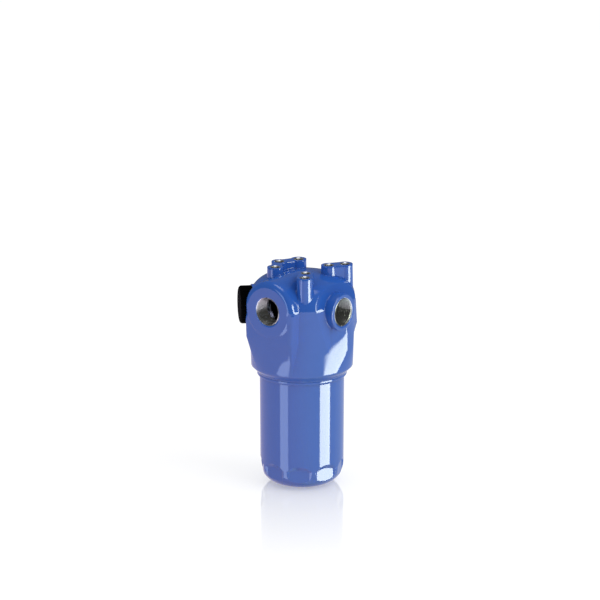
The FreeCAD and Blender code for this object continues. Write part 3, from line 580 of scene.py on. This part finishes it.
def makeFloor():
    # Pale studio table: it takes the soft shadow and a weak mirror image close to the bowl.
    mesh = bpy.data.meshes.new("studioFloor")
    size = table["size"]
    corners = [(-size, -size, 0), (size, -size, 0), (size, size, 0), (-size, size, 0)]
    mesh.from_pydata(corners, [], [(0, 1, 2, 3)])
    floor = newObject("studioFloor", mesh)
    floor.location.z = -table["drop"]
    material, tree = newMaterial("paleStudioTable")
    ray = addNode(tree, "LightPath", {})
    matt = addNode(tree, "BsdfDiffuse", {"Color": toLinear(table["matt"])})
    glow = addNode(tree, "Emission", {"Strength": table["glow"]})
    lit = addNode(tree, "AddShader", {0: matt, 1: glow})
    place = addNode(tree, "NewGeometry", {}).outputs["Position"]
    distance = addNode(tree, "VectorMath", {"operation": "LENGTH", 0: place}).outputs["Value"]
    fade = addNode(tree, "MapRange", {
        "Value": distance, "From Min": table["fadeFrom"], "From Max": table["fadeTo"],
        "To Min": table["mirrorNear"], "To Max": table["mirrorFar"]})
    mirror = addNode(tree, "BsdfGlossy", {"Color": white, "Roughness": table["mirrorRoughness"]})
    seen = addNode(tree, "MixShader", {0: fade, 1: lit, 2: mirror})
    plain = addNode(tree, "BsdfDiffuse", {"Color": toLinear(table["bounce"])})
    shader = addNode(tree, "MixShader", {0: ray.outputs["Is Camera Ray"], 1: plain, 2: seen})
    addNode(tree, "OutputMaterial", {"Surface": shader})
    mesh.materials.append(material)
    floor.visible_glossy = False


def makeCard():
    mesh = bpy.data.meshes.new("whiteCard")
    count = card["steps"]
    turns = [2 * math.pi * i / count for i in range(count)]
    corners = [
        (math.cos(turn) * radius, math.sin(turn) * radius, card["height"])
        for radius in (card["inner"], card["outer"]) for turn in turns]
    faces = [(i, i + count, (i + 1) % count + count, (i + 1) % count) for i in range(count)]
    mesh.from_pydata(corners, [], faces)
    material, tree = newMaterial("litWhiteCard")
    below = addNode(tree, "NewGeometry", {}).outputs["Backfacing"]
    clear = addNode(tree, "BsdfTransparent", {})
    glow = addNode(tree, "Emission", {"Strength": card["glow"]})
    shader = addNode(tree, "MixShader", {0: below, 1: clear, 2: glow})
    addNode(tree, "OutputMaterial", {"Surface": shader})
    mesh.materials.append(material)
    piece = newObject("whiteCard", mesh)
    piece.visible_camera = False
    piece.visible_diffuse = False
    piece.visible_shadow = False


def makeLamp():
    lamp = bpy.data.lights.new("sidePanel", "AREA")
    lamp.shape = "SQUARE"
    lamp.size = panel["size"]
    lamp.energy = panel["power"]
    holder = newObject("sidePanel", lamp)
    holder.location = panel["place"]
    aim = upward * panel["aimHeight"] - holder.location
    holder.rotation_euler = aim.to_track_quat("-Z", "Y").to_euler()
    holder.visible_glossy = False


# Light tent round the object: gloss sees its pale lower half, its banks and its overhead panel

studio = {
    "ambient": 0.86,
    # white surround below eye level, as gloss sees it: brightest on the camera's side
    "paleFront": 2.0,
    "paleBack": 1.0,
    "paleLeft": "#E6D2E8",
    "paleRight": "#DFEAF6",
    "darkAbove": 0.16,
    "horizon": -0.225,
    "horizonSoft": 0.02,
    "overhead": 2.6,
    "overheadFrom": 0.91,
    "overheadTo": 0.98,
    # upright light banks: centre and half width in degrees round the object, how bright, tint and lower end
    "banks": [(14.3, 16.3, 13.0, "#F7FFF0", -0.42), (-103.2, 11.8, 3.5, "#CBDEFF", -0.8)],
    "bankSoft": 2.0,
    "bankTop": 0.30,
    "bankTopSoft": 0.08,
    "bankFootSoft": 0.05,
}


def bankStrength(tree, height, compass, centre, half, strength, foot):
    # How bright a bank is in a direction: full inside its width and between its two ends.
    top, topSoft, footSoft = studio["bankTop"], studio["bankTopSoft"], studio["bankFootSoft"]
    heading = math.radians(centre)
    aim = (math.cos(heading), math.sin(heading), 0.0)
    near = addNode(tree, "VectorMath", {"operation": "DOT_PRODUCT", 0: compass, 1: aim}).outputs["Value"]
    outer, inner = (math.cos(math.radians(half + side * studio["bankSoft"] / 2)) for side in (1, -1))
    bank = 1.0
    for value, start, stop, low, high in (
        (height, top - topSoft, top + topSoft, 1.0, 0.0),
        (height, foot - footSoft, foot + footSoft, 0.0, 1.0),
        (near, outer, inner, 0.0, strength),
    ):
        share = addNode(tree, "MapRange", {
            "interpolation_type": "SMOOTHSTEP", "Value": value, "From Min": start, "From Max": stop,
            "To Min": low, "To Max": high})
        bank = addNode(tree, "Math", {"operation": "MULTIPLY", 0: bank, 1: share})
    return bank


def makeWorld():
    world = bpy.data.worlds.new("lightTent")
    scene.world = world
    world.use_nodes = True
    tree = world.node_tree
    tree.nodes.clear()
    ray = addNode(tree, "LightPath", {})
    look = addNode(tree, "TexCoord", {}).outputs["Generated"]
    height = addNode(tree, "SeparateXYZ", {0: look}).outputs["Z"]
    level = addNode(tree, "VectorMath", {"operation": "MULTIPLY", 0: look, 1: acrossZ})
    compass = addNode(tree, "VectorMath", {"operation": "NORMALIZE", 0: level})
    toRight, toBack = [
        addNode(tree, "VectorMath", {"operation": "DOT_PRODUCT", 0: compass, 1: aim}).outputs["Value"]
        for aim in (rightward, backward)]
    side = addNode(tree, "MapRange", {
        "interpolation_type": "SMOOTHSTEP", "Value": toRight, "From Min": -1.0, "From Max": 1.0})
    pale = addNode(tree, "Mix", {
        "data_type": "RGBA", 0: side, 6: toLinear(studio["paleLeft"]), 7: toLinear(studio["paleRight"])})
    paleStrength = addNode(tree, "MapRange", {
        "Value": toBack, "From Min": -1.0, "From Max": 1.0,
        "To Min": studio["paleFront"], "To Max": studio["paleBack"]})
    bottom, top = studio["horizon"] - studio["horizonSoft"], studio["horizon"] + studio["horizonSoft"]
    parts = []
    for colour, start, stop, low, high in (
        (pale.outputs[2], bottom, top, paleStrength, 0.0),
        (white, bottom, top, 0.0, studio["darkAbove"]),
        (white, studio["overheadFrom"], studio["overheadTo"], 0.0, studio["overhead"]),
    ):
        strength = addNode(tree, "MapRange", {
            "interpolation_type": "SMOOTHSTEP", "Value": height, "From Min": start, "From Max": stop,
            "To Min": low, "To Max": high})
        parts.append((colour, strength))
    for centre, half, bright, tint, foot in studio["banks"]:
        parts.append((toLinear(tint), bankStrength(tree, height, compass, centre, half, bright, foot)))
    glossy = None
    for colour, strength in parts:
        lit = addNode(tree, "Background", {"Color": colour, "Strength": strength})
        glossy = lit if glossy is None else addNode(tree, "AddShader", {0: glossy, 1: lit})
    ambient = addNode(tree, "Background", {"Color": white, "Strength": studio["ambient"]})
    backdrop = addNode(tree, "Background", {"Color": white})
    forRays = addNode(tree, "MixShader", {0: ray.outputs["Is Glossy Ray"], 1: ambient, 2: glossy})
    forCamera = addNode(tree, "MixShader", {0: ray.outputs["Is Camera Ray"], 1: forRays, 2: backdrop})
    addNode(tree, "OutputWorld", {"Surface": forCamera})
    world.cycles.sampling_method = "NONE"


makeCamera()
makeFloor()
makeCard()
makeLamp()
makeWorld()
scene.view_settings.view_transform = "Standard"
print("stage: camera, floor and light set")
